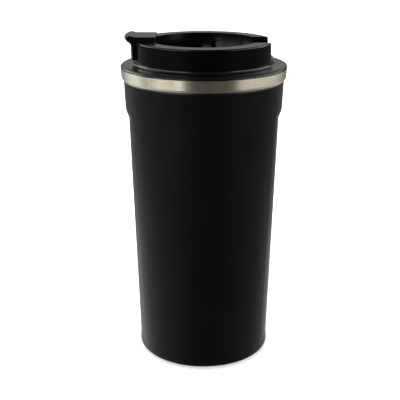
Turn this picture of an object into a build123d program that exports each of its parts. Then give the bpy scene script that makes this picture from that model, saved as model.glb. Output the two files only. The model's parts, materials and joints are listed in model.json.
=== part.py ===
from build123d import *
import os
from math import cos, radians, sin

os.makedirs("parts", exist_ok=True)

# An insulated travel mug: a steel vacuum cup in a black moulded sleeve, with a screw lid
# that carries a flip lever. Millimetres, +Z up. The origin is on the table at the centre of
# the base. The lever's free end, where the drinker's lips go, points to -X.

# ---- driving dimensions: cup ----
sheet = 0.5                 # thickness of the steel sheet
mouth_z = 164.5             # top of the steel lip
band_top_r = 44.5           # bare steel band, at the lip
band_low_r = 44.15          # and above its rolled lower edge
band_low_z = 158.7          # underside of the band, where the wall steps in
collar_top_r = 41.7         # steel wall behind the sleeve's collar
collar_low_r = 41.25
collar_low_z = 144.7
waist_r = 39.3              # steel wall below the collar, inside the grips
waist_z = 135.7
foot_r = 35.5               # steel wall at its lower end
foot_z = 5.0
neck_r = 39.3               # liner bore that takes the lid's thread
neck_wall = 1.3
neck_low_z = 151.7
seat_r = 37.0               # liner bore just under the gasket's seat
seat_z = 149.3
liner_low_r = 32.5          # liner bore where the liner's base is welded on
liner_joint_z = 18.7
liner_floor_z = 12.2        # inside floor of the cup
liner_corner = 5.0

# ---- driving dimensions: sleeve and base ----
sleeve_wall = 1.5
sleeve_top_round = 0.9
sleeve_top_r = 43.5
sleeve_top_z = 158.2
sleeve_low_r = 37.45
sleeve_low_z = 0.7          # the sleeve clears the table, only the pad stands on it
sleeve_foot_radius = 2.6
lip_r = 33.5                # opening in the sleeve's foot
lip_top_z = 2.6
grip_top_r = 41.1           # face of the two side grips
grip_top_z = 136.2
grip_low_r = 37.2
grip_low_z = 8.0
grip_shoulder_z = 143.2     # where the grip's sloping top edge meets the collar
grip_wall = 1.4
grip_half_angle = 28.0
pad_r = 30.0
pad_thick = 1.6

# ---- driving dimensions: lid ----
flange_r = 45.0
flange_low_z = 164.7
flange_top_z = 166.5
ring_low_r = 37.4
ring_top_r = 37.25
rim_z = 178.8
well_r = 29.0               # inner wall of the ring
lid_wall = 2.0
well_floor_z = 165.1
deck_z = 173.7              # raised deck behind the hinge
deck_x = 6.45
notch_half_width = 11.3
notch_sill_z = 169.7
rim_round = 0.8
flange_fillet = 1.4
notch_round = 0.5           # on the edges of the notches
edge_round = 0.4            # on the lid's other edges
plug_r = 38.8
plug_low_z = 148.2
plug_groove_r = 35.2
plug_step_z = 152.7
thread_lead = 6.5           # the lid rises this much in one turn
thread_height = 1.2
thread_clearance = 0.3

# ---- driving dimensions: lever and spout ----
hinge_x = 1.7
hinge_z = 170.4
barrel_width = 5.6          # the barrel is a bar with a flat top and rounded corners
barrel_height = 6.4
barrel_round = 0.9
barrel_half_length = 28.2
pin_r = 1.2
pin_clearance = 0.05
pin_reach = 4.0             # depth of each pin inside the barrel
arm_half_width = 7.5
arm_thick = 2.7
arm_round = 0.6
pocket_length = 6.0         # pocket in the deck for the flipped arm
pocket_half_width = 8.0
head_x = -25.5
head_half_width = 10.8
head_top_z = 181.5
head_tip_r = 42.6
head_round = 0.5
head_corner = 1.2           # upright corners at the head's inner end
arm_overlap = 2.3           # how far the arm runs into the head
tongue_r = 39.3
tongue_inner_r = 37.8
tongue_low_z = 169.1
head_gap = 0.4              # air between the head and the notch's sill
spout_x = -19.0
spout_length = 13.0         # across the lid, along Y
spout_width = 7.5
spout_taper = 30.0
vent_x, vent_y = 18.0, -13.0
vent_r = 1.25


def on_line(z, low, high):
    """Radius at height z on the straight side from low to high, each (radius, height)."""
    return low[0] + (high[0] - low[0]) * (z - low[1]) / (high[1] - low[1])


def hinge_sides():
    """Planes on the hinge's axis, whose normals point out along -Y and +Y."""
    return [Plane((hinge_x, 0, hinge_z), x_dir=(1, 0, 0), z_dir=(0, side, 0)) for side in (-1, 1)]


def edges_on_sides(edges, half_width):
    """The edges that lie in the two planes Y = half_width and Y = -half_width."""
    def on_side(edge):
        extent = edge.bounding_box()
        flat = extent.max.Y - extent.min.Y < 0.001
        return flat and abs(abs(edge.center().Y) - half_width) < 0.001
    return edges.filter_by(on_side)


def both_sides(half_angle, reach=60.0):
    """Two wedges about the +X and -X directions, each half_angle degrees to either side."""
    along, across = reach * cos(radians(half_angle)), reach * sin(radians(half_angle))
    with BuildSketch() as wedges:
        for way in (-1, 1):
            with BuildLine():
                Polyline((0, 0), (way * along, across), (way * along, -across), close=True)
            make_face()
    return wedges.sketch


def helical_rib(low_z, high_z, radius, section):
    """A thread that begins on +X. The section's points are (outwards, along)."""
    with BuildPart() as rib:
        with BuildLine(Plane.XY.offset(low_z)) as path:
            Helix(thread_lead, high_z - low_z, radius)
        with BuildSketch(Plane(path.line @ 0, x_dir=(1, 0, 0), z_dir=path.line % 0)):
            with BuildLine():
                Polyline(*section, close=True)
            make_face()
        sweep(path=path.line, is_frenet=True)
    return rib.part


# Each thread is a trapezium: the ridge on the plug, and a wider, deeper groove in the liner.
ridge_root, ridge_tip = 1.3, 0.6
ridge_bury, groove_open = 0.4, 1.0      # how far each section reaches past its wall
root_gap, tip_gap = 0.5, 0.45
ridge_low_z, ridge_top_z = plug_step_z + 1.4, flange_low_z - 3.4
groove_low_z, groove_top_z = neck_low_z + 0.6, mouth_z + 1.2
groove_depth = plug_r + thread_height + thread_clearance - neck_r
thread_ridge = helical_rib(ridge_low_z, ridge_top_z, plug_r, [
    (-ridge_bury, -ridge_root),
    (thread_height, -ridge_tip),
    (thread_height, ridge_tip),
    (-ridge_bury, ridge_root),
])
thread_groove = helical_rib(groove_low_z, groove_top_z, neck_r, [
    (-groove_open, -ridge_root - root_gap),
    (groove_depth, -ridge_tip - tip_gap),
    (groove_depth, ridge_tip + tip_gap),
    (-groove_open, ridge_root + root_gap),
])

# =====================================================================================
# The steel cup
# =====================================================================================

# Liner: threaded neck, conical seat for the gasket, tapered bore, and a flange at the lip.
lip_inner_r = band_top_r - sheet - 0.05
with BuildPart() as inner_liner:
    with BuildSketch(Plane.XZ):
        with BuildLine():
            Polyline(
                (neck_r + 0.4, mouth_z),
                (neck_r, mouth_z - 0.4),
                (neck_r, neck_low_z),
                (seat_r, seat_z),
                (liner_low_r, liner_joint_z),
                (liner_low_r + sheet, liner_joint_z),
                (seat_r + sheet, seat_z - sheet),
                (neck_r + neck_wall, neck_low_z - sheet),
                (neck_r + neck_wall, mouth_z - sheet),
                (lip_inner_r, mouth_z - sheet),
                (lip_inner_r, mouth_z),
                close=True,
            )
        make_face()
    revolve(axis=Axis.Z)
    add(thread_groove, mode=Mode.SUBTRACT)
inner_liner.part.label = "inner_liner"
export_step(inner_liner.part, "parts/inner_liner.step")

# Liner base: a drawn dish welded to the lower end of the liner.
with BuildPart() as liner_base:
    with BuildSketch(Plane.XZ):
        with BuildLine():
            wall_top = (liner_low_r, liner_joint_z)
            corner_top = (liner_low_r - 0.2, liner_floor_z + liner_corner)
            corner_low = (liner_low_r - 0.2 - liner_corner, liner_floor_z)
            Line(wall_top, corner_top)
            RadiusArc(corner_top, corner_low, liner_corner)
            Line(corner_low, (0, liner_floor_z))
            offset(amount=sheet, side=Side.LEFT)
        make_face()
    revolve(axis=Axis.Z)
liner_base.part.label = "liner_base"
export_step(liner_base.part, "parts/liner_base.step")

# Foil wrapped round the liner inside the vacuum, to hold back radiant heat.
foil_gap = 0.4
foil_thick = 0.15
foil_low_z, foil_top_z = 24.0, 142.0
bore_low, bore_top = (liner_low_r, liner_joint_z), (seat_r, seat_z)
foil_low_r = on_line(foil_low_z, bore_low, bore_top) + sheet + foil_gap
foil_top_r = on_line(foil_top_z, bore_low, bore_top) + sheet + foil_gap
with BuildPart() as heat_foil:
    with BuildSketch(Plane.XZ):
        with BuildLine():
            Polyline(
                (foil_low_r, foil_low_z),
                (foil_low_r + foil_thick, foil_low_z),
                (foil_top_r + foil_thick, foil_top_z),
                (foil_top_r, foil_top_z),
                close=True,
            )
        make_face()
    revolve(axis=Axis.Z)
heat_foil.part.label = "heat_foil"
export_step(heat_foil.part, "parts/heat_foil.step")

# Getter: a pellet spot-welded under the liner's base, that keeps the vacuum clean.
getter_thick = 1.2
with BuildPart() as getter:
    with BuildSketch(Plane.XY.offset(liner_floor_z - sheet - getter_thick)):
        with Locations((12, 0)):
            Circle(4)
    extrude(amount=getter_thick)
    fillet(getter.edges().group_by(Axis.Z)[0], 0.4)
getter.part.label = "getter"
export_step(getter.part, "parts/getter.step")

# Outer wall: the bare band at the lip, a rolled shoulder, and the hidden wall below it.
with BuildPart() as outer_wall:
    with BuildSketch(Plane.XZ):
        with BuildLine():
            Polyline(
                (band_top_r, mouth_z),
                (band_low_r, band_low_z + 0.8),
                (band_low_r - 0.5, band_low_z),
                (collar_top_r, band_low_z),
                (collar_low_r, collar_low_z),
                (waist_r, waist_z),
                (foot_r, foot_z + 3),
                (foot_r, foot_z),
            )
            offset(amount=sheet, side=Side.RIGHT)
        make_face()
    revolve(axis=Axis.Z)
outer_wall.part.label = "outer_wall"
export_step(outer_wall.part, "parts/outer_wall.step")

# Vacuum base: closes the outer wall, with a pump-out hole in a central dimple.
dish_z = foot_z + 0.8
dimple_z = dish_z + 1.0
dish_r = foot_r - sheet
pump_hole_r = 1.2
with BuildPart() as vacuum_base:
    with BuildSketch(Plane.XZ):
        with BuildLine():
            Polyline(
                (dish_r, foot_z),
                (dish_r, dish_z + sheet),
                (8.5, dish_z + sheet),
                (7.5, dimple_z + sheet),
                (pump_hole_r, dimple_z + sheet),
                (pump_hole_r, dimple_z),
                (7.8, dimple_z),
                (8.8, dish_z),
                (dish_r - sheet, dish_z),
                (dish_r - sheet, foot_z),
                close=True,
            )
        make_face()
    revolve(axis=Axis.Z)
vacuum_base.part.label = "vacuum_base"
export_step(vacuum_base.part, "parts/vacuum_base.step")

# Vacuum seal: the bead of solder glass that closes the pump-out hole.
with BuildPart() as vacuum_seal:
    with BuildSketch(Plane.XZ):
        with BuildLine():
            Polyline(
                (0, dimple_z - 0.7),
                (3.2, dimple_z - 0.7),
                (4.0, dimple_z),
                (pump_hole_r, dimple_z),
                (pump_hole_r, dimple_z + sheet),
                (0, dimple_z + sheet),
                close=True,
            )
        make_face()
    revolve(axis=Axis.Z)
vacuum_seal.part.label = "vacuum_seal"
export_step(vacuum_seal.part, "parts/vacuum_seal.step")

# =====================================================================================
# The sleeve and the base
# =====================================================================================

# Each grip is a sector between two cones. Its top edge slopes up to the collar.
sleeve_low = (sleeve_low_r, sleeve_low_z + sleeve_foot_radius)
sleeve_top = (sleeve_top_r, sleeve_top_z)
grip_low, grip_top = (grip_low_r, grip_low_z), (grip_top_r, grip_top_z)
with BuildPart() as grip_hollows:
    with BuildSketch(Plane.XZ):
        with BuildLine():
            Polyline(
                (on_line(grip_shoulder_z, sleeve_low, sleeve_top) + 0.01, grip_shoulder_z),
                (grip_top_r, grip_top_z),
                (grip_low_r, grip_low_z),
                (on_line(2.8, sleeve_low, sleeve_top) + 0.1, 2.8),
                (sleeve_top_r + 5, 2.8),
                (sleeve_top_r + 5, grip_shoulder_z),
                close=True,
            )
        make_face()
    revolve(axis=Axis.Z)
    with BuildSketch(Plane.XY):
        add(both_sides(grip_half_angle))
    extrude(amount=sleeve_top_z, mode=Mode.INTERSECT)

# The sleeve is as thick behind the grips as elsewhere, so its inside bulges in there.
with BuildPart() as grip_backs:
    with BuildSketch(Plane.XZ):
        with BuildLine():
            Polyline(
                (on_line(grip_shoulder_z + 3, sleeve_low, sleeve_top) - 0.5, grip_shoulder_z + 3),
                (on_line(grip_shoulder_z + 1, sleeve_low, sleeve_top) - grip_wall, grip_shoulder_z + 1),
                (grip_top_r - grip_wall, grip_top_z),
                (grip_low_r - grip_wall, grip_low_z),
                (grip_low_r - grip_wall, 3.0),
                (on_line(3.0, sleeve_low, sleeve_top) - 0.5, 3.0),
                close=True,
            )
        make_face()
    revolve(axis=Axis.Z)
    with BuildSketch(Plane.XY):
        add(both_sides(grip_half_angle + 2.5))
    extrude(amount=sleeve_top_z, mode=Mode.INTERSECT)

# Sleeve: a tapered tube with a rounded foot, a rebate at the top and the two grips.
rebate = 1.1
rebate_r = sleeve_top_r - 1.1
sleeve_bore_top_r = on_line(sleeve_top_z - rebate, sleeve_low, sleeve_top) - sleeve_wall
with BuildPart() as body_sleeve:
    with BuildSketch(Plane.XZ):
        with BuildLine():
            foot_start = (sleeve_low_r - sleeve_foot_radius, sleeve_low_z)
            Line((lip_r, sleeve_low_z), foot_start)
            RadiusArc(foot_start, sleeve_low, -sleeve_foot_radius)
            Polyline(
                sleeve_low,
                sleeve_top,
                (rebate_r, sleeve_top_z),
                (rebate_r, sleeve_top_z - rebate),
                (sleeve_bore_top_r, sleeve_top_z - rebate),
                (sleeve_low_r - sleeve_wall, lip_top_z + 1.0),
                (sleeve_low_r - sleeve_wall, lip_top_z),
                (lip_r, lip_top_z),
                (lip_r, sleeve_low_z),
            )
        make_face()
    revolve(axis=Axis.Z)
    top_edge = body_sleeve.edges().filter_by(GeomType.CIRCLE).group_by(Axis.Z)[-1]
    fillet(top_edge.sort_by(SortBy.RADIUS)[-1], sleeve_top_round)
    add(grip_backs.part)
    add(grip_hollows.part, mode=Mode.SUBTRACT)
body_sleeve.part.label = "body_sleeve"
export_step(body_sleeve.part, "parts/body_sleeve.step")

# Soft ring that centres the sleeve's top edge under the steel band.
with BuildPart() as sleeve_ring:
    with BuildSketch(Plane.XZ):
        with BuildLine():
            Polyline(
                (collar_top_r + 0.02, sleeve_top_z - rebate),
                (rebate_r, sleeve_top_z - rebate),
                (rebate_r, band_low_z),
                (collar_top_r + 0.02, band_low_z),
                close=True,
            )
        make_face()
    revolve(axis=Axis.Z)
sleeve_ring.part.label = "sleeve_ring"
export_step(sleeve_ring.part, "parts/sleeve_ring.step")

# Base cap: snaps over the lip in the sleeve's foot and holds the pad in its pocket.
cap_top_z = lip_top_z + 0.6
with BuildPart() as base_cap:
    with BuildSketch(Plane.XZ):
        with BuildLine():
            Polyline(
                (0, pad_thick),
                (pad_r + 0.1, pad_thick),
                (pad_r + 0.1, sleeve_low_z),
                (lip_r - 0.1, sleeve_low_z),
                (lip_r - 0.1, lip_top_z),
                (lip_r + 1.2, lip_top_z),
                (lip_r + 1.2, cap_top_z),
                (0, cap_top_z),
                close=True,
            )
        make_face()
    revolve(axis=Axis.Z)
base_cap.part.label = "base_cap"
export_step(base_cap.part, "parts/base_cap.step")

# Cushion: a foam ring between the base cap and the steel cup.
with BuildPart() as base_cushion:
    with BuildSketch(Plane.XY.offset(cap_top_z)):
        Circle(34.2)
        Circle(24.0, mode=Mode.SUBTRACT)
    extrude(amount=foot_z - cap_top_z)
base_cushion.part.label = "base_cushion"
export_step(base_cushion.part, "parts/base_cushion.step")

# Anti-slip pad that the mug stands on.
with BuildPart() as base_pad:
    with BuildSketch(Plane.XY):
        Circle(pad_r)
    extrude(amount=pad_thick)
    chamfer(base_pad.edges().group_by(Axis.Z)[0], 0.4)
base_pad.part.label = "base_pad"
export_step(base_pad.part, "parts/base_pad.step")

# =====================================================================================
# The lid
# =====================================================================================

# The ring is cored out from below, except next to the two notches.
core_inner_r = well_r + lid_wall
with BuildPart() as ring_core:
    with BuildSketch(Plane.XZ):
        with BuildLine():
            Polyline(
                (core_inner_r, flange_low_z - 2),
                (ring_low_r - lid_wall, flange_low_z - 2),
                (ring_low_r - lid_wall, flange_top_z),
                (ring_top_r - lid_wall, rim_z - 3.5),
                (ring_top_r - lid_wall - 1.5, rim_z - lid_wall),
                (core_inner_r, rim_z - lid_wall),
                close=True,
            )
        make_face()
    revolve(axis=Axis.Z)
    for side in (-1, 1):
        with BuildSketch(Plane.XY.offset(notch_sill_z - lid_wall)):
            with Locations((side * 35, 0)):
                Rectangle(30, 2 * (notch_half_width + lid_wall))
        extrude(amount=rim_z, mode=Mode.SUBTRACT)

# Lid shell: flange, ring, drinking well, hinge sockets and the raised deck.
with BuildPart() as lid_shell:
    with BuildSketch(Plane.XZ):
        with BuildLine():
            fillet_low = (ring_low_r + flange_fillet, flange_top_z)
            fillet_top = (ring_low_r, flange_top_z + flange_fillet)
            round_low = (ring_top_r, rim_z - rim_round)
            round_top = (ring_top_r - rim_round, rim_z)
            Polyline(
                (0, well_floor_z),
                (0, well_floor_z - lid_wall),
                (core_inner_r, well_floor_z - lid_wall),
                (core_inner_r, flange_low_z),
                (flange_r - 0.5, flange_low_z),
                (flange_r, flange_low_z + 0.5),
            )
            ThreePointArc(
                (flange_r, flange_low_z + 0.5),
                (flange_r - 0.45, flange_top_z - 0.6),
                (flange_r - 1.5, flange_top_z - 0.2),
            )
            Line((flange_r - 1.5, flange_top_z - 0.2), fillet_low)
            RadiusArc(fillet_low, fillet_top, flange_fillet)
            Line(fillet_top, round_low)
            RadiusArc(round_low, round_top, -rim_round)
            Polyline(round_top, (well_r, rim_z), (well_r, well_floor_z), (0, well_floor_z))
        make_face()
    revolve(axis=Axis.Z)
    # Deck: a raised half disc behind the hinge, hollow from below.
    with BuildSketch(Plane.XY.offset(well_floor_z - lid_wall)):
        Circle(well_r + 0.5)
        with Locations((deck_x - 50, 0)):
            Rectangle(100, 100, mode=Mode.SUBTRACT)
    extrude(amount=deck_z - well_floor_z + lid_wall)
    with BuildSketch(Plane.XY.offset(well_floor_z - lid_wall)):
        Circle(well_r - lid_wall)
        with Locations((deck_x + lid_wall - 50, 0)):
            Rectangle(100, 100, mode=Mode.SUBTRACT)
    extrude(amount=deck_z - well_floor_z, mode=Mode.SUBTRACT)
    add(ring_core.part, mode=Mode.SUBTRACT)
    # Notches in the ring: one for the lever's head when shut, one when it is flipped open.
    with BuildSketch(Plane.XY.offset(notch_sill_z)):
        Circle(flange_r)
        Circle(well_r, mode=Mode.SUBTRACT)
        Rectangle(2 * flange_r, 2 * notch_half_width, mode=Mode.INTERSECT)
    extrude(amount=rim_z, mode=Mode.SUBTRACT)
    notch_sides = edges_on_sides(lid_shell.edges(), notch_half_width)
    fillet(notch_sides.filter_by(lambda edge: edge.bounding_box().max.Z > deck_z), notch_round)
    # Pocket in the deck's front edge, that the flipped arm sinks into.
    pocket_z = hinge_z + 0.6
    with BuildSketch(Plane.XY.offset(pocket_z - lid_wall)):
        with Locations((deck_x + pocket_length / 2 + 1, 0)):
            Rectangle(pocket_length + lid_wall, 2 * (pocket_half_width + lid_wall))
    extrude(amount=deck_z - pocket_z)
    with BuildSketch(Plane.XY.offset(pocket_z)):
        with Locations((deck_x + pocket_length / 2, 0)):
            Rectangle(pocket_length, 2 * pocket_half_width)
    extrude(amount=deck_z, mode=Mode.SUBTRACT)
    deck_front = lid_shell.edges().filter_by(GeomType.LINE).filter_by(
        lambda edge: deck_x - 0.1 < edge.center().X < deck_x + pocket_length + 0.1
        and edge.center().Z > pocket_z
        and abs(edge.center().Y) < well_r - 1
    )
    fillet(deck_front, edge_round)
    # Spout hole, widening upwards, and the vent that lets air in.
    with BuildSketch(Plane.XY.offset(well_floor_z - lid_wall)):
        with Locations((spout_x, 0)):
            SlotOverall(spout_length, spout_width, rotation=90)
    extrude(amount=lid_wall, taper=-spout_taper, mode=Mode.SUBTRACT)
    spout_rim = lid_shell.edges().filter_by(
        lambda edge: abs(edge.bounding_box().min.Z - well_floor_z) < 0.001
        and abs(edge.center().X - spout_x) < spout_width
        and abs(edge.center().Y) < spout_length
    )
    fillet(spout_rim, edge_round)
    with Locations((vent_x, vent_y, deck_z)):
        Hole(vent_r, depth=lid_wall + 1)
    # Sockets for the hinge pins.
    for plane in hinge_sides():
        with BuildSketch(plane.offset(well_r - 1)):
            Circle(pin_r)
        extrude(amount=lid_wall + 1.5, mode=Mode.SUBTRACT)
lid_shell.part.label = "lid_shell"
export_step(lid_shell.part, "parts/lid_shell.step")

# Lid plug: a threaded cup welded under the shell. A tube leads the drink up to the spout.
seal_thick = 1.0
tube_wall = 1.8
plug_floor_z = plug_low_z + 1.8
with BuildPart() as lid_plug:
    with BuildSketch(Plane.XZ):
        with BuildLine():
            Polyline(
                (0, plug_low_z),
                (36.2, plug_low_z),
                (36.4, plug_low_z + 0.3),
                (36.4, plug_low_z + 1.0),
                (plug_groove_r, plug_low_z + 1.1),
                (plug_groove_r, plug_step_z),
                (plug_r, plug_step_z),
                (plug_r, flange_low_z),
                (plug_r - lid_wall, flange_low_z),
                (plug_r - lid_wall, plug_step_z + lid_wall),
                (plug_groove_r - lid_wall, plug_step_z + 1),
                (plug_groove_r - lid_wall, plug_floor_z),
                (0, plug_floor_z),
                close=True,
            )
        make_face()
    revolve(axis=Axis.Z)
    with BuildSketch(Plane.XY.offset(plug_floor_z)):
        with Locations((spout_x, 0)):
            SlotOverall(spout_length + 2 * tube_wall, spout_width + 2 * tube_wall, rotation=90)
    extrude(amount=well_floor_z - lid_wall - seal_thick - plug_floor_z)
    with BuildSketch(Plane.XY.offset(plug_floor_z)):
        with Locations((vent_x, vent_y)):
            Circle(vent_r + tube_wall)
    extrude(amount=deck_z - lid_wall - plug_floor_z)
    with BuildSketch(Plane.XY.offset(plug_low_z)):
        with Locations((spout_x, 0)):
            SlotOverall(spout_length, spout_width, rotation=90)
        with Locations((vent_x, vent_y)):
            Circle(vent_r)
    extrude(amount=rim_z, mode=Mode.SUBTRACT)
    # The ridge is turned to run in the middle of the liner's groove.
    add(thread_ridge, rotation=(0, 0, 360 * (ridge_low_z - groove_low_z) / thread_lead))
lid_plug.part.label = "lid_plug"
export_step(lid_plug.part, "parts/lid_plug.step")

# Gasket round the plug, that seals on the liner's conical seat.
gasket_low_z = plug_low_z + 1.3
with BuildPart() as lid_gasket:
    with BuildSketch(Plane.XZ):
        with BuildLine():
            Polyline(
                (plug_groove_r + 0.3, gasket_low_z),
                (36.6, gasket_low_z),
                (38.5, gasket_low_z + 1.9),
                (38.5, plug_step_z - 0.1),
                (plug_groove_r + 0.3, plug_step_z - 0.1),
                close=True,
            )
        make_face()
    revolve(axis=Axis.Z)
    outer_edges = lid_gasket.edges().filter_by(GeomType.CIRCLE).group_by(SortBy.RADIUS)[-1]
    fillet(outer_edges, 0.3)
lid_gasket.part.label = "lid_gasket"
export_step(lid_gasket.part, "parts/lid_gasket.step")

# Seal between the drink tube and the underside of the well.
with BuildPart() as tube_seal:
    with BuildSketch(Plane.XY.offset(well_floor_z - lid_wall - seal_thick)):
        with Locations((spout_x, 0)):
            SlotOverall(spout_length + 2 * tube_wall, spout_width + 2 * tube_wall, rotation=90)
            SlotOverall(spout_length, spout_width, rotation=90, mode=Mode.SUBTRACT)
    extrude(amount=seal_thick)
tube_seal.part.label = "tube_seal"
export_step(tube_seal.part, "parts/tube_seal.step")

# Vent valve: a soft umbrella under the plug, held by its stem in the vent tube.
with BuildPart() as vent_valve:
    with BuildSketch(Plane(origin=(vent_x, vent_y, plug_low_z), x_dir=(1, 0, 0), z_dir=(0, -1, 0))):
        with BuildLine():
            Polyline(
                (0, -0.9),
                (3.4, -0.7),
                (4.2, 0),
                (0.9, 0),
                (0.9, 4.5),
                (1.25, 5.2),
                (0.7, 6.4),
                (0, 6.4),
                close=True,
            )
        make_face()
    revolve(axis=Axis((vent_x, vent_y, 0), (0, 0, 1)))
vent_valve.part.label = "vent_valve"
export_step(vent_valve.part, "parts/vent_valve.step")

# Hinge pins: two headed steel pins, pushed in from the ring's hollow.
with BuildPart() as hinge_pins:
    for plane in hinge_sides():
        with BuildSketch(plane.offset(barrel_half_length - pin_reach)):
            Circle(pin_r)
        extrude(amount=core_inner_r - barrel_half_length + pin_reach)
        with BuildSketch(plane.offset(core_inner_r)):
            Circle(2 * pin_r)
        extrude(amount=0.8)
hinge_pins.part.label = "hinge_pins"
export_step(hinge_pins.part, "parts/hinge_pins.step")

# =====================================================================================
# The flip lever
# =====================================================================================

# Lever: a barrel right across the well, a narrow arm, and a head that hooks over the ring.
head_low_z = notch_sill_z + head_gap
arm_low_z = hinge_z - arm_thick
with BuildPart() as flip_lever:
    with BuildSketch(Plane.XZ):
        with BuildLine():
            Polyline((20, head_low_z), (20, head_top_z), (head_tip_r - 5.5, head_top_z))
            Spline(
                (head_tip_r - 5.5, head_top_z),
                (head_tip_r - 2.4, head_top_z + 0.5),
                (head_tip_r, head_top_z - 1.0),
                tangents=((1, 0), (0, -1)),
            )
            Line((head_tip_r, head_top_z - 1.0), (head_tip_r - 0.8, head_top_z - 2.4))
            ThreePointArc(
                (head_tip_r - 0.8, head_top_z - 2.4),
                (tongue_r + 0.6, head_top_z - 4.0),
                (tongue_r, head_top_z - 7.0),
            )
            Polyline(
                (tongue_r, head_top_z - 7.0),
                (tongue_r - 0.1, tongue_low_z + 0.5),
                (tongue_r - 0.6, tongue_low_z),
                (tongue_inner_r, tongue_low_z),
                (tongue_inner_r, head_low_z),
                (20, head_low_z),
            )
        make_face()
    revolve(axis=Axis.Z)
    with BuildSketch(Plane.XY.offset(tongue_low_z - 1)):
        with Locations((head_x - 15, 0)):
            Rectangle(30, 2 * head_half_width)
    extrude(amount=rim_z, mode=Mode.INTERSECT)
    upright = flip_lever.edges().filter_by(Axis.Z).group_by(Axis.X)[-1]
    fillet(upright, head_corner)
    head_sides = edges_on_sides(flip_lever.edges(), head_half_width)
    head_sides = head_sides.filter_by(lambda edge: edge.center().Z > head_low_z + 0.1)
    head_front = flip_lever.edges().filter_by(
        lambda edge: edge.bounding_box().min.Z > head_top_z - 0.01
        and edge.center().X > head_x - head_corner
    )
    fillet(list(head_sides) + [edge for edge in head_front if edge not in head_sides], head_round)
    # Arm, from the barrel out to the head.
    with BuildSketch(Plane.YZ.offset(head_x - arm_overlap)):
        with Locations((0, hinge_z - arm_thick / 2)):
            RectangleRounded(2 * arm_half_width, arm_thick, arm_round)
    extrude(amount=hinge_x - head_x + arm_overlap)
    with BuildSketch(Plane.XZ.offset(-barrel_half_length)):
        with Locations((hinge_x, hinge_z)):
            RectangleRounded(barrel_width, barrel_height, barrel_round)
    extrude(amount=2 * barrel_half_length)
    # Bores for the hinge pins, and the hole that holds the stopper's stem.
    for plane in hinge_sides():
        with BuildSketch(plane.offset(barrel_half_length - pin_reach - 0.4)):
            Circle(pin_r + pin_clearance)
        extrude(amount=pin_reach + 1, mode=Mode.SUBTRACT)
    with Locations((spout_x, 0, hinge_z)):
        Hole(2.2, depth=arm_thick + 1)
flip_lever.part.label = "flip_lever"
export_step(flip_lever.part, "parts/flip_lever.step")

# Stopper: soft plug under the arm, held by a mushroom that shows on top of the arm.
stopper_flange = 1.6
stopper_plug_top_z = arm_low_z - stopper_flange
with BuildPart() as spout_stopper:
    with BuildSketch(Plane.XY.offset(stopper_plug_top_z)):
        with Locations((spout_x, 0)):
            SlotOverall(spout_length + 4.5, spout_width + 4.5, rotation=90)
    extrude(amount=stopper_flange)
    with BuildSketch(Plane.XY.offset(stopper_plug_top_z)):
        with Locations((spout_x, 0)):
            SlotOverall(spout_length + 1.6, spout_width + 1.6, rotation=90)
    extrude(amount=-2.6, taper=spout_taper)
    with BuildSketch(Plane.XY.offset(arm_low_z)):
        with Locations((spout_x, 0)):
            Circle(2.2)
    extrude(amount=arm_thick)
    with BuildSketch(Plane.XY.offset(hinge_z)):
        with Locations((spout_x, 0)):
            Circle(3.4)
    extrude(amount=1.0, taper=35)
spout_stopper.part.label = "spout_stopper"
export_step(spout_stopper.part, "parts/spout_stopper.step")
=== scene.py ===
import json
from math import atan2, cos, pi, radians, sin, tan

import bmesh
import bpy
import numpy as np
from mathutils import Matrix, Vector


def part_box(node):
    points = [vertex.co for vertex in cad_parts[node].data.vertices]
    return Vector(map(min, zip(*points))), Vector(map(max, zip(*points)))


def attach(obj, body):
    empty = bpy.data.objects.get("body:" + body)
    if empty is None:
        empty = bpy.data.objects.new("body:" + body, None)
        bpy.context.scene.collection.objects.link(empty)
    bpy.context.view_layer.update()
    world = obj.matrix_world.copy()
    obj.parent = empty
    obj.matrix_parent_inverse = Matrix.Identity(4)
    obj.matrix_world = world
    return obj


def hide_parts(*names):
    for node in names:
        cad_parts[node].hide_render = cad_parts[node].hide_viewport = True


# An insulated travel mug in satin black plastic and brushed steel, built round its packed
# frame. Shapes are worked out in millimetres and turned into metres when a mesh is made.

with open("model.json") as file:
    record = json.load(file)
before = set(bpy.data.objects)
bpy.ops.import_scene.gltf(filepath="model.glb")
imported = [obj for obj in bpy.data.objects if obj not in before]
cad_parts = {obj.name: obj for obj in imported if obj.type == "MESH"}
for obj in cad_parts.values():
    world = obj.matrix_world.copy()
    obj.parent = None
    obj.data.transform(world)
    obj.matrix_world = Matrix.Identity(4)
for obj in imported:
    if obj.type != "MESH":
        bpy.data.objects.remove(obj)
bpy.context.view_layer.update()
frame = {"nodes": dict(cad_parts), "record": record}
MM = 0.001
SEGMENTS = 192              # facets round a full circle
WELD, SLIVER = 1e-4, 1e-5   # points nearer than this are joined, shorter edges are dissolved
ROUND_SHARE = 0.49          # a corner's round takes up at most this share of an edge
AXIS_GAP = 0.01             # a disc's outline starts this far off the axis


def box(node):
    """Lowest and highest corner of a CAD node, in millimetres."""
    low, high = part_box(node)
    return low / MM, high / MM


# ---- driving dimensions: read from the frame where a node gives them ----
wall_low, wall_high = box("outer_wall")
band_top_r, mouth_z = wall_high.x, wall_high.z
foot_z = wall_low.z
sleeve_box_low, sleeve_box_high = box("body_sleeve")
sleeve_low_z, sleeve_top_z = sleeve_box_low.z, sleeve_box_high.z
pad_high = box("base_pad")[1]
pad_r, pad_thick = pad_high.x, pad_high.z

# ---- cup ----
sheet = 0.5
lip_inset, lip_roll = 0.6, 0.9      # how far the band's lower edge turns in, and over what height
foot_bend = 3
band_low_r, band_low_z = 44.15, 158.7
collar_top_r = 41.7
collar_low_r, collar_low_z = 41.25, 144.7
waist_r, waist_z = 39.3, 135.7
foot_r = 35.5

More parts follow.
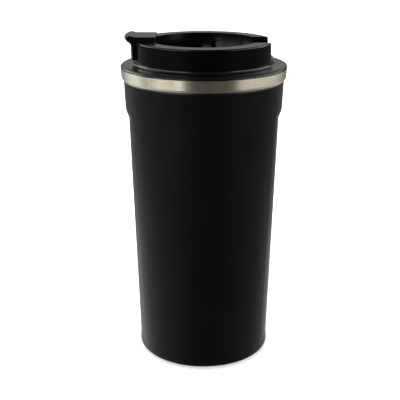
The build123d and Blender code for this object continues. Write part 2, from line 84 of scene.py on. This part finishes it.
# ---- sleeve ----
sleeve_wall = 1.5
sleeve_top_r, sleeve_low_r = 43.5, 37.45
foot_round = 2.6
lip_r, lip_top_z = 33.5, 2.6
rebate = 1.1                # width and depth of the step that the centring ring lies in
rebate_r = sleeve_top_r - rebate
top_round = 0.9
grip_low_r, grip_low_z = 37.2, 8.0
grip_top_r, grip_top_z = 41.1, 136.2
grip_shoulder_z = 143.2
grip_end_z = 2.8
grip_half_angle = 28.0
grip_side_width = 1.2       # how far the grip's side edge takes to reach its full depth
grip_corner = 8.0
ring_gap, ring_crush = 0.02, 0.05   # room inside the centring ring, and under the band


# =====================================================================================
# Mesh tools
# =====================================================================================

def arc_points(centre, radius, start, turn, steps):
    """Points on an arc, from the start angle through turn, in radians."""
    angles = [start + turn * i / steps for i in range(steps + 1)]
    return [(centre[0] + radius * cos(a), centre[1] + radius * sin(a)) for a in angles]


def rounded(corners, steps=5, closed=True):
    """An outline through corners (x, z, round), each corner cut to an arc of that radius."""
    points = []
    for i, (x, z, radius) in enumerate(corners):
        here = Vector((x, z))
        ends = not closed and i in (0, len(corners) - 1)
        if radius == 0 or ends:
            points.append((x, z))
            continue
        before = Vector(corners[i - 1][:2]) - here
        after = Vector(corners[(i + 1) % len(corners)][:2]) - here
        half = before.angle(after) / 2
        reach = min(radius / tan(half), ROUND_SHARE * before.length, ROUND_SHARE * after.length)
        radius = reach * tan(half)
        inward = (before.normalized() + after.normalized()).normalized()
        centre = here + inward * radius / sin(half)
        first = here + before.normalized() * reach - centre
        last = here + after.normalized() * reach - centre
        start = atan2(first.y, first.x)
        turn = (atan2(last.y, last.x) - start + pi) % (2 * pi) - pi
        points += arc_points(centre, radius, start, turn, steps)
    return points


def walled(path, thickness):
    """A closed outline of corners from an open path (x, z, round) and its copy to the right."""
    inner = []
    for i, (x, z, radius) in enumerate(path):
        here = Vector((x, z))
        ways = []
        if i > 0:
            ways.append((here - Vector(path[i - 1][:2])).normalized())
        if i < len(path) - 1:
            ways.append((Vector(path[i + 1][:2]) - here).normalized())
        normals = [Vector((way.y, -way.x)) for way in ways]
        miter = sum(normals, Vector((0, 0))).normalized()
        shift = miter * thickness / miter.dot(normals[0])
        inner.append((x + shift.x, z + shift.y, radius))
    return path + inner[::-1]


def finished(name, mesh_bm, crease=38):
    """An object from a bmesh in millimetres, welded, facing out and smooth between creases."""
    bmesh.ops.remove_doubles(mesh_bm, verts=mesh_bm.verts, dist=WELD)
    bmesh.ops.dissolve_degenerate(mesh_bm, edges=mesh_bm.edges, dist=SLIVER)
    bmesh.ops.recalc_face_normals(mesh_bm, faces=mesh_bm.faces)
    bmesh.ops.scale(mesh_bm, vec=(MM, MM, MM), verts=mesh_bm.verts)
    mesh = bpy.data.meshes.new(name)
    mesh_bm.to_mesh(mesh)
    mesh_bm.free()
    mesh.shade_smooth()
    mesh.set_sharp_from_angle(angle=radians(crease))
    obj = bpy.data.objects.new(name, mesh)
    bpy.context.scene.collection.objects.link(obj)
    weighted = obj.modifiers.new("weighted", "WEIGHTED_NORMAL")
    weighted.keep_sharp = True
    return obj


def skin(name, grid):
    """A closed surface through a grid of points, rows by columns, that joins up both ways."""
    rows, columns = grid.shape[:2]
    mesh_bm = bmesh.new()
    verts = [mesh_bm.verts.new(point) for point in grid.reshape(-1, 3)]
    for i in range(rows):
        for j in range(columns):
            below, beside = (i + 1) % rows, (j + 1) % columns
            corners = [(i, j), (i, beside), (below, beside), (below, j)]
            mesh_bm.faces.new([verts[a * columns + b] for a, b in corners])
    return finished(name, mesh_bm)


def turned(name, outline):
    """A solid of revolution about the Z axis, from a closed outline of (radius, z)."""
    angles = np.linspace(0, 2 * pi, SEGMENTS, endpoint=False)
    profile = np.array(outline)
    grid = np.zeros((len(profile), SEGMENTS, 3))
    grid[:, :, 0] = profile[:, :1] * np.cos(angles)
    grid[:, :, 1] = profile[:, :1] * np.sin(angles)
    grid[:, :, 2] = profile[:, 1:]
    return skin(name, grid)


def smoothstep(t):
    t = np.clip(t, 0, 1)
    return t * t * (3 - 2 * t)


def on_line(z, low, high):
    """Radius at height z on the straight side from low to high, each (radius, height)."""
    return low[0] + (high[0] - low[0]) * (z - low[1]) / (high[1] - low[1])


# =====================================================================================
# Materials
# =====================================================================================

def node(tree, kind, inputs=None, **settings):
    """Adds a shader node. An input's value is a number, a tuple or another node's socket."""
    made = tree.nodes.new(kind)
    for key, value in settings.items():
        setattr(made, key, value)
    for key, value in (inputs or {}).items():
        socket = made.inputs[key]
        if isinstance(value, bpy.types.NodeSocket):
            tree.links.new(value, socket)
        else:
            socket.default_value = value
    return made


def new_material(name, **sockets):
    """A material and its Principled shader, with constant sockets set by name."""
    material = bpy.data.materials.new(name)
    material.use_nodes = True
    shader = material.node_tree.nodes["Principled BSDF"]
    for key, value in sockets.items():
        shader.inputs[key.replace("_", " ")].default_value = value
    return material, material.node_tree, shader


def object_coords(tree, scale=(1, 1, 1)):
    """Object coordinates in metres, stretched by scale."""
    coords = node(tree, "ShaderNodeTexCoord")
    settings = {"Vector": coords.outputs["Object"], "Scale": scale}
    mapping = node(tree, "ShaderNodeMapping", settings)
    return mapping.outputs["Vector"]


def noise(tree, size, detail=3.0, roughness=0.55, stretch=(1, 1, 1)):
    """Noise whose features are about size millimetres across."""
    settings = {
        "Vector": object_coords(tree, stretch),
        "Scale": 1 / (size * MM),
        "Detail": detail,
        "Roughness": roughness,
    }
    return node(tree, "ShaderNodeTexNoise", settings).outputs["Fac"]


def spread(tree, value, low, high, start=0.3, end=0.7):
    """Maps a value from start..end to low..high."""
    settings = {"Value": value, "From Min": start, "From Max": end, "To Min": low, "To Max": high}
    return node(tree, "ShaderNodeMapRange", settings).outputs["Result"]


def blend_colours(tree, factor, first, second):
    mix = node(tree, "ShaderNodeMix", data_type="RGBA")
    tree.links.new(factor, mix.inputs["Factor"])
    mix.inputs["A"].default_value = (*first, 1)
    mix.inputs["B"].default_value = (*second, 1)
    return mix.outputs["Result"]


def bumps(tree, shader, height, depth, strength=1.0):
    """Bump of that depth in millimetres on the shader's normal."""
    settings = {"Height": height, "Distance": depth * MM, "Strength": strength}
    made = node(tree, "ShaderNodeBump", settings)
    tree.links.new(made.outputs["Normal"], shader.inputs["Normal"])


GLOSS_DRIFT = 0.015         # how far a moulded part's roughness wanders either way


def moulded(name, dark, light, gloss, grain=0.35, depth=0.0012, specular=0.45):
    """Moulded plastic: a fine spark-eroded grain, and a gloss that drifts a little."""
    material, tree, shader = new_material(name, Specular_IOR_Level=specular)
    drift = noise(tree, size=22, detail=4)
    speck = noise(tree, grain, detail=2, roughness=0.7)
    colour = blend_colours(tree, spread(tree, drift, 0, 1), dark, light)
    tree.links.new(colour, shader.inputs["Base Color"])
    rough = spread(tree, drift, gloss - GLOSS_DRIFT, gloss + GLOSS_DRIFT)
    tree.links.new(rough, shader.inputs["Roughness"])
    bumps(tree, shader, speck, depth)
    return material


ACROSS = 0.25               # a quarter turn: the shine spreads across the scratches
ROUND_AXIS = (0.02, 0.02, 1)        # stretches scratches into lines round the Z axis
ALONG_Y = (1, 0.05, 1)              # draws scratches out along Y, the way the hinge pins lie
EVEN = (1, 1, 1)                    # no stretch: an even, unbrushed grain
STREAKS_UP = (1, 1, 0.15)           # draws streaks of tone out along Z
DULL_SHARE = 0.86                   # how bright the dull streaks are, beside the bright ones


def brushed_steel(name, colour, rough, grain=0.16, stretch=ROUND_AXIS, anisotropy=0.7):
    """Steel with scratches that vary its roughness, streaks of tone and an anisotropic shine."""
    material, tree, shader = new_material(
        name, Metallic=1.0, Anisotropic=anisotropy, Anisotropic_Rotation=ACROSS)
    tangent = node(tree, "ShaderNodeTangent", direction_type="RADIAL", axis="Z")
    tree.links.new(tangent.outputs["Tangent"], shader.inputs["Tangent"])
    scratches = noise(tree, grain, detail=4, roughness=0.7, stretch=stretch)
    streaks = noise(tree, size=6, detail=3, roughness=0.5, stretch=STREAKS_UP)
    dull = tuple(DULL_SHARE * c for c in colour)
    tone = blend_colours(tree, spread(tree, streaks, 0, 1), dull, colour)
    tree.links.new(tone, shader.inputs["Base Color"])
    tree.links.new(spread(tree, scratches, rough - 0.05, rough + 0.06), shader.inputs["Roughness"])
    bumps(tree, shader, scratches, depth=0.0006)
    return material


band_steel = brushed_steel("band_steel", (0.85, 0.81, 0.67), rough=0.34, anisotropy=0.95)
liner_steel = brushed_steel("liner_steel", (0.66, 0.65, 0.63), rough=0.3)
pin_steel = brushed_steel(
    "pin_steel", (0.6, 0.6, 0.6), rough=0.25, grain=0.1, stretch=ALONG_Y)
foil = brushed_steel(
    "foil", (0.82, 0.80, 0.76), rough=0.2, grain=1.2, stretch=EVEN, anisotropy=0.0)
getter_metal = brushed_steel(
    "getter_metal", (0.25, 0.25, 0.26), rough=0.5, grain=0.3, stretch=EVEN, anisotropy=0.0)
sleeve_plastic = moulded(
    "sleeve_plastic", (0.0009, 0.001, 0.0009), (0.0016, 0.0017, 0.0015), gloss=0.29)
lid_plastic = moulded(
    "lid_plastic", (0.0008, 0.0008, 0.0007), (0.0014, 0.0014, 0.0012),
    gloss=0.21, grain=0.3, specular=0.3)
lever_plastic = moulded(
    "lever_plastic", (0.0009, 0.0009, 0.0008), (0.0016, 0.0016, 0.0015),
    gloss=0.23, grain=0.3, specular=0.33)
plug_plastic = moulded(
    "plug_plastic", (0.01, 0.01, 0.01), (0.016, 0.016, 0.016), gloss=0.36, grain=0.3)
base_plastic = moulded(
    "base_plastic", (0.01, 0.01, 0.01), (0.015, 0.015, 0.015), gloss=0.5, grain=0.5)
pad_rubber = moulded(
    "pad_rubber", (0.014, 0.014, 0.014), (0.022, 0.022, 0.021),
    gloss=0.75, grain=0.6, depth=0.02)
seal_rubber = moulded(
    "seal_rubber", (0.012, 0.012, 0.012), (0.018, 0.018, 0.018), gloss=0.62, grain=0.4)
foam = moulded("foam", (0.05, 0.05, 0.05), (0.08, 0.08, 0.08), gloss=0.9, grain=0.8, depth=0.15)
silicone = moulded(
    "silicone", (0.32, 0.32, 0.31), (0.38, 0.38, 0.37),
    gloss=0.42, grain=0.8, depth=0.01, specular=0.45)
stopper_silicone = moulded(
    "stopper_silicone", (0.02, 0.02, 0.02), (0.03, 0.03, 0.03), gloss=0.5, grain=0.6)
solder_glass = moulded("solder_glass", (0.2, 0.22, 0.2), (0.3, 0.32, 0.3), gloss=0.2, grain=0.8)

SLOT_MATERIALS = {
    "liner_steel": liner_steel, "foil": foil, "getter_metal": getter_metal,
    "band_steel": band_steel, "solder_glass": solder_glass, "sleeve_plastic": sleeve_plastic,
    "seal_rubber": seal_rubber, "foam": foam, "base_plastic": base_plastic,
    "pad_rubber": pad_rubber, "silicone": silicone, "lid_plastic": lid_plastic,
    "plug_plastic": plug_plastic, "pin_steel": pin_steel, "lever_plastic": lever_plastic,
    "stopper_silicone": stopper_silicone,
}


def stands_for(obj, body, slot, *nodes):
    """The piece rides on a body, takes a slot's finish and replaces those CAD nodes."""
    obj.data.materials.clear()
    obj.data.materials.append(SLOT_MATERIALS[slot])
    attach(obj, body)
    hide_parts(*nodes)
    return obj


# =====================================================================================
# The cup
# =====================================================================================

# Outer wall: the bare band at the mouth, its lower edge turned in, and the hidden wall below.
wall_path = [
    (band_top_r, mouth_z, 0),
    (band_low_r, band_low_z + lip_roll, 0.5),
    (band_low_r - lip_inset, band_low_z, 0.4),
    (collar_top_r, band_low_z, 0.3),
    (collar_low_r, collar_low_z, 3),
    (waist_r, waist_z, 3),
    (foot_r, foot_z + foot_bend, 2),
    (foot_r, foot_z, 0),
]
wall = turned("steel_wall", rounded(walled(wall_path, -sheet)))
stands_for(wall, "cup", "band_steel", "outer_wall")


# Sleeve: a tapered tube with two sunken grips, whose edges melt into the outside.
def sleeve_radius(angle, z):
    """Outer radius of the sleeve. The grips face +X and -X."""
    cone = on_line(z, (sleeve_low_r, sleeve_low_z + foot_round), (sleeve_top_r, sleeve_top_z))
    face = on_line(z, (grip_low_r, grip_low_z), (grip_top_r, grip_top_z))
    depth = (cone - face) * smoothstep((z - grip_end_z) / (grip_low_z - grip_end_z))
    from_centre = np.abs((angle + pi / 2) % pi - pi / 2)
    side = (radians(grip_half_angle) - from_centre) * cone
    top = grip_shoulder_z - z
    short_side, short_top = grip_corner - side, grip_corner - top
    at_corner = (short_side > 0) & (short_top > 0)
    from_corner = grip_corner - np.hypot(short_side, short_top)
    inside = np.where(at_corner, from_corner, np.minimum(side, top))
    slant = np.where(at_corner, np.arctan2(short_top, short_side) / (pi / 2), side > top)
    top_width = grip_shoulder_z - grip_top_z
    width = grip_side_width + (top_width - grip_side_width) * smoothstep(slant)
    return cone - depth * smoothstep(inside / width)


def sleeve_grid():
    """Rows run once round the wall's section: foot, outside, top edge, inside."""
    # Columns, in degrees: close together across a grip's side edge.
    edge_starts, edge_ends = grip_half_angle - 4, grip_half_angle + 1.5
    quarter = np.concatenate([
        np.arange(0, edge_starts, 2.0),
        np.arange(edge_starts, edge_ends, 0.25),
        np.linspace(edge_ends, 90, 30),
    ])
    half = np.concatenate([quarter, 180 - quarter[-2:0:-1]])
    angles = np.radians(np.concatenate([half, half + 180]))
    # Rows, by height: close together where a grip fades in, and closest across its top edge.
    fade_ends_z, crest_low_z, crest_high_z = 12, 126, 145
    foot_centre = (sleeve_low_r - foot_round, sleeve_low_z + foot_round)
    foot = arc_points(foot_centre, foot_round, -pi / 2, pi / 2, 8)
    outside = np.concatenate([
        np.linspace(sleeve_low_z + foot_round, fade_ends_z, 10)[1:],
        np.linspace(fade_ends_z, crest_low_z, 32)[1:],
        np.arange(crest_low_z + 0.5, crest_high_z, 0.5),
        np.linspace(crest_high_z, sleeve_top_z - top_round, 6),
    ])
    top_centre = (sleeve_top_r - top_round, sleeve_top_z - top_round)
    top = arc_points(top_centre, top_round, 0, pi / 2, 7)[1:]
    bore_top_z = sleeve_top_z - rebate
    inside = np.concatenate([
        np.linspace(bore_top_z, crest_high_z, 5),
        np.arange(crest_high_z - 1, crest_low_z, -1.0),
        np.linspace(crest_low_z, lip_top_z + 1, 20),
    ])
    rows = []

    def row(radius, z):
        points = np.zeros((len(angles), 3))
        points[:, 0], points[:, 1] = radius * np.cos(angles), radius * np.sin(angles)
        points[:, 2] = z
        rows.append(points)

    row(lip_r, sleeve_low_z)
    for radius, z in foot:
        row(radius, z)
    for z in outside:
        row(sleeve_radius(angles, z), z)
    for radius, z in top:
        row(radius, z)
    row(rebate_r, sleeve_top_z)
    row(rebate_r, bore_top_z)
    for z in inside:
        row(sleeve_radius(angles, z) - sleeve_wall, z)
    row(sleeve_low_r - sleeve_wall, lip_top_z)
    row(lip_r, lip_top_z)
    return np.array(rows)


sleeve = skin("sleeve", sleeve_grid())
stands_for(sleeve, "cup", "sleeve_plastic", "body_sleeve")

# Centring ring: the soft ring between the sleeve and the band.
ring_outline = rounded([
    (collar_top_r + ring_gap, sleeve_top_z - rebate, 0),
    (rebate_r, sleeve_top_z - rebate, 0),
    (rebate_r, band_low_z - ring_crush, 0.2),
    (collar_top_r + ring_gap, band_low_z - ring_crush, 0.2),
])
sleeve_ring = turned("centring_ring", ring_outline)
stands_for(sleeve_ring, "cup", "seal_rubber", "sleeve_ring")

# =====================================================================================
# The base
# =====================================================================================

# Base cap: the moulded disc round the pad, with a snap rim inside the sleeve's foot.
snap_reach, snap_thick = 1.2, 0.6
cap_gap = 0.1               # room round the pad, and inside the sleeve's lip
cap_low_z, cap_top_z = sleeve_low_z, lip_top_z + snap_thick
cap_outline = rounded([
    (AXIS_GAP, pad_thick, 0),
    (pad_r + cap_gap, pad_thick, 0),
    (pad_r + cap_gap, cap_low_z, 0.25),
    (lip_r - cap_gap, cap_low_z, 0.25),
    (lip_r - cap_gap, lip_top_z, 0),
    (lip_r + snap_reach, lip_top_z, 0.2),
    (lip_r + snap_reach, cap_top_z, 0.2),
    (AXIS_GAP, cap_top_z, 0),
])
stands_for(turned("snap_cap", cap_outline), "cup", "base_plastic", "base_cap")

# Pad: a rubber disc with concentric grooves in the face that meets the table.
groove_depth, groove_width, groove_pitch = 0.35, 0.9, 3.4
groove_slope = 0.15         # the groove's sides lean by this much, and its corners are as round
plain_rim = 3
pad_path = [(AXIS_GAP, 0, 0)]
groove_r = 7.0
while groove_r < pad_r - plain_rim:
    pad_path += [
        (groove_r, 0, groove_slope),
        (groove_r + groove_slope, groove_depth, groove_slope),
        (groove_r + groove_width - groove_slope, groove_depth, groove_slope),
        (groove_r + groove_width, 0, groove_slope),
    ]
    groove_r += groove_pitch
pad_path += [(pad_r, 0, 0.5), (pad_r, pad_thick, 0.2), (AXIS_GAP, pad_thick, 0)]
stands_for(turned("grip_pad", rounded(pad_path, 3)), "cup", "pad_rubber", "base_pad")

# =====================================================================================
# Frame nodes that are shown as they are
# =====================================================================================

slots = {part["node"]: part["material_slot"] for part in frame["record"]["subparts"]}
for name, cad_node in frame["nodes"].items():
    if not cad_node.hide_render:
        cad_node.data.materials.clear()
        cad_node.data.materials.append(SLOT_MATERIALS[slots[name]])

# =====================================================================================
# Floor, light and camera
# =====================================================================================

reach = 6.0                 # from the middle of the floor to its edge, in metres
floor_mesh = bpy.data.meshes.new("floor")
floor_mesh.from_pydata(
    [(-reach, -reach, 0), (reach, -reach, 0), (reach, reach, 0), (-reach, reach, 0)],
    [], [(0, 1, 2, 3)],
)
floor = bpy.data.objects.new("floor", floor_mesh)
bpy.context.scene.collection.objects.link(floor)
floor.visible_glossy = False
floor_material = new_material(
    "floor", Base_Color=(0.92, 0.92, 0.92, 1), Roughness=0.9, Emission_Strength=0.45,
    Emission_Color=(1, 1, 1, 1), Specular_IOR_Level=0.0)[0]
floor_mesh.materials.append(floor_material)

# A white dome stands round everything. Only the camera sees it: it lights nothing, casts no
# shadow and isn't mirrored in anything.
dome_r = 0.98 * reach
dome_bm = bmesh.new()
bmesh.ops.create_uvsphere(dome_bm, u_segments=64, v_segments=32, radius=dome_r)
dome_mesh = bpy.data.meshes.new("dome")
dome_bm.to_mesh(dome_mesh)
dome_bm.free()
dome = bpy.data.objects.new("dome", dome_mesh)
bpy.context.scene.collection.objects.link(dome)
dome.visible_diffuse = False
dome.visible_glossy = False
dome.visible_transmission = False
dome.visible_shadow = False
dome_material = new_material(
    "dome", Base_Color=(0, 0, 0, 1), Roughness=1.0, Emission_Strength=1.0,
    Emission_Color=(1, 1, 1, 1), Specular_IOR_Level=0.0)[0]
dome_mesh.materials.append(dome_material)

# The studio: bright panels low on the left and right walls, parted by dark gaps on the left. The
# walls are dim behind the mug and on the camera's side, the table is brightest behind the mug,
# and the ceiling is dim. The levels are listed below. The camera sees the dome instead of it.
world = bpy.data.worlds.new("studio")
bpy.context.scene.world = world
world.use_nodes = True
sky = world.node_tree


def ramp(tree, value, stops, interpolation="EASE"):
    """A colour ramp through stops of (position, level, tint), where value runs from 0 to 1."""
    made = node(tree, "ShaderNodeValToRGB", {"Fac": value})
    made.color_ramp.interpolation = interpolation
    elements = made.color_ramp.elements
    elements.remove(elements[1])
    for i, (position, level, tint) in enumerate(stops):
        stop = elements[0] if i == 0 else elements.new(position)
        stop.position = position
        stop.color = (*(level * c for c in tint), 1)
    return made.outputs["Color"]


direction = node(sky, "ShaderNodeTexCoord").outputs["Generated"]
parts = node(sky, "ShaderNodeSeparateXYZ", {"Vector": direction}).outputs
towards = node(sky, "ShaderNodeMath", {0: parts["Y"], 1: -1.0}, operation="MULTIPLY")
sides = {0: parts["X"], 1: towards.outputs[0]}
heading = node(sky, "ShaderNodeMath", sides, operation="ARCTAN2")
around = spread(sky, heading.outputs[0], 0, 1, -pi, pi)
upward = spread(sky, parts["Z"], 0, 1, -1, 1)
WARM, COOL, PLAIN = (1.0, 0.975, 0.92), (0.94, 0.97, 1.0), (1.0, 1.0, 1.0)


def headings(stops, tint):
    """Ramp stops from (heading, level), in degrees from the camera's side: 90 is to the right."""
    return [((degrees + 180) / 360, level, tint) for degrees, level in stops]


walls = ramp(sky, around, headings([
    # behind the mug
    (-180, 0.36), (-160, 0.4), (-146, 0.9),
    # left-hand panels and the gaps between them
    (-132, 4.2), (-116, 4.0), (-106, 6.5), (-98, 4.0), (-90, 0.5), (-82, 3.0), (-68, 5.0),
    (-54, 4.4), (-49, 6.5), (-44, 0.5), (-39, 7.0), (-31, 7.0),
    # the camera's side
    (-25, 0.1), (0, 0.08), (46, 0.08),
    # right-hand panel, and behind the mug again
    (49, 3.9), (118, 4.0), (132, 1.9), (146, 0.3), (180, 0.36),
], WARM), "LINEAR")
wall_height = ramp(sky, upward, [
    (0.0, 0.0, PLAIN), (0.52, 0.0, PLAIN), (0.59, 1.0, PLAIN), (0.66, 1.0, PLAIN),
    (0.75, 0.4, PLAIN), (0.9, 0.08, PLAIN), (1.0, 0.05, PLAIN),
])
table = ramp(sky, around, headings([
    (-180, 1.2), (-172, 0.6), (-130, 0.8), (-100, 0.42), (-60, 0.2), (-20, 0.07), (20, 0.06),
    (60, 0.1), (90, 0.17), (120, 0.32), (150, 0.6), (162, 0.8), (170, 3.0), (180, 3.0),
], PLAIN))
table_height = ramp(sky, upward, [
    (0.0, 1.0, COOL), (0.28, 1.0, COOL), (0.36, 0.45, COOL), (0.46, 0.2, COOL),
    (0.54, 0.0, COOL), (1.0, 0.0, COOL),
])
ceiling = ramp(sky, upward, [
    (0.0, 0.0, WARM), (0.5, 0.0, WARM), (0.62, 0.17, WARM), (1.0, 0.1, WARM),
])


def lit(first, second, how):
    """Two colours put together by a blend type."""
    mix = node(sky, "ShaderNodeMix", data_type="RGBA", blend_type=how)
    mix.inputs["Factor"].default_value = 1.0
    sky.links.new(first, mix.inputs["A"])
    sky.links.new(second, mix.inputs["B"])
    return mix.outputs["Result"]


room = lit(lit(walls, wall_height, "MULTIPLY"), lit(table, table_height, "MULTIPLY"), "ADD")
room = lit(room, ceiling, "ADD")
sky.links.new(room, sky.nodes["Background"].inputs["Color"])

overhead = bpy.data.lights.new("overhead", "AREA")
overhead.shape = "DISK"
overhead.size = 1.6
overhead.energy = 26
overhead_light = bpy.data.objects.new("overhead", overhead)
overhead_light.location = (0, 0.5, 1.8)
overhead_light.visible_glossy = False
bpy.context.scene.collection.objects.link(overhead_light)

camera_data = bpy.data.cameras.new("camera")
camera_data.lens = 76.75
camera_data.sensor_width = 36
camera_data.clip_start = 0.01
camera = bpy.data.objects.new("camera", camera_data)
camera.location = (-0.0021, -0.4614, 0.2428)
camera.rotation_euler = (radians(71.45), 0, 0)
bpy.context.scene.collection.objects.link(camera)
bpy.context.scene.camera = camera
bpy.context.scene.view_settings.view_transform = "Standard"
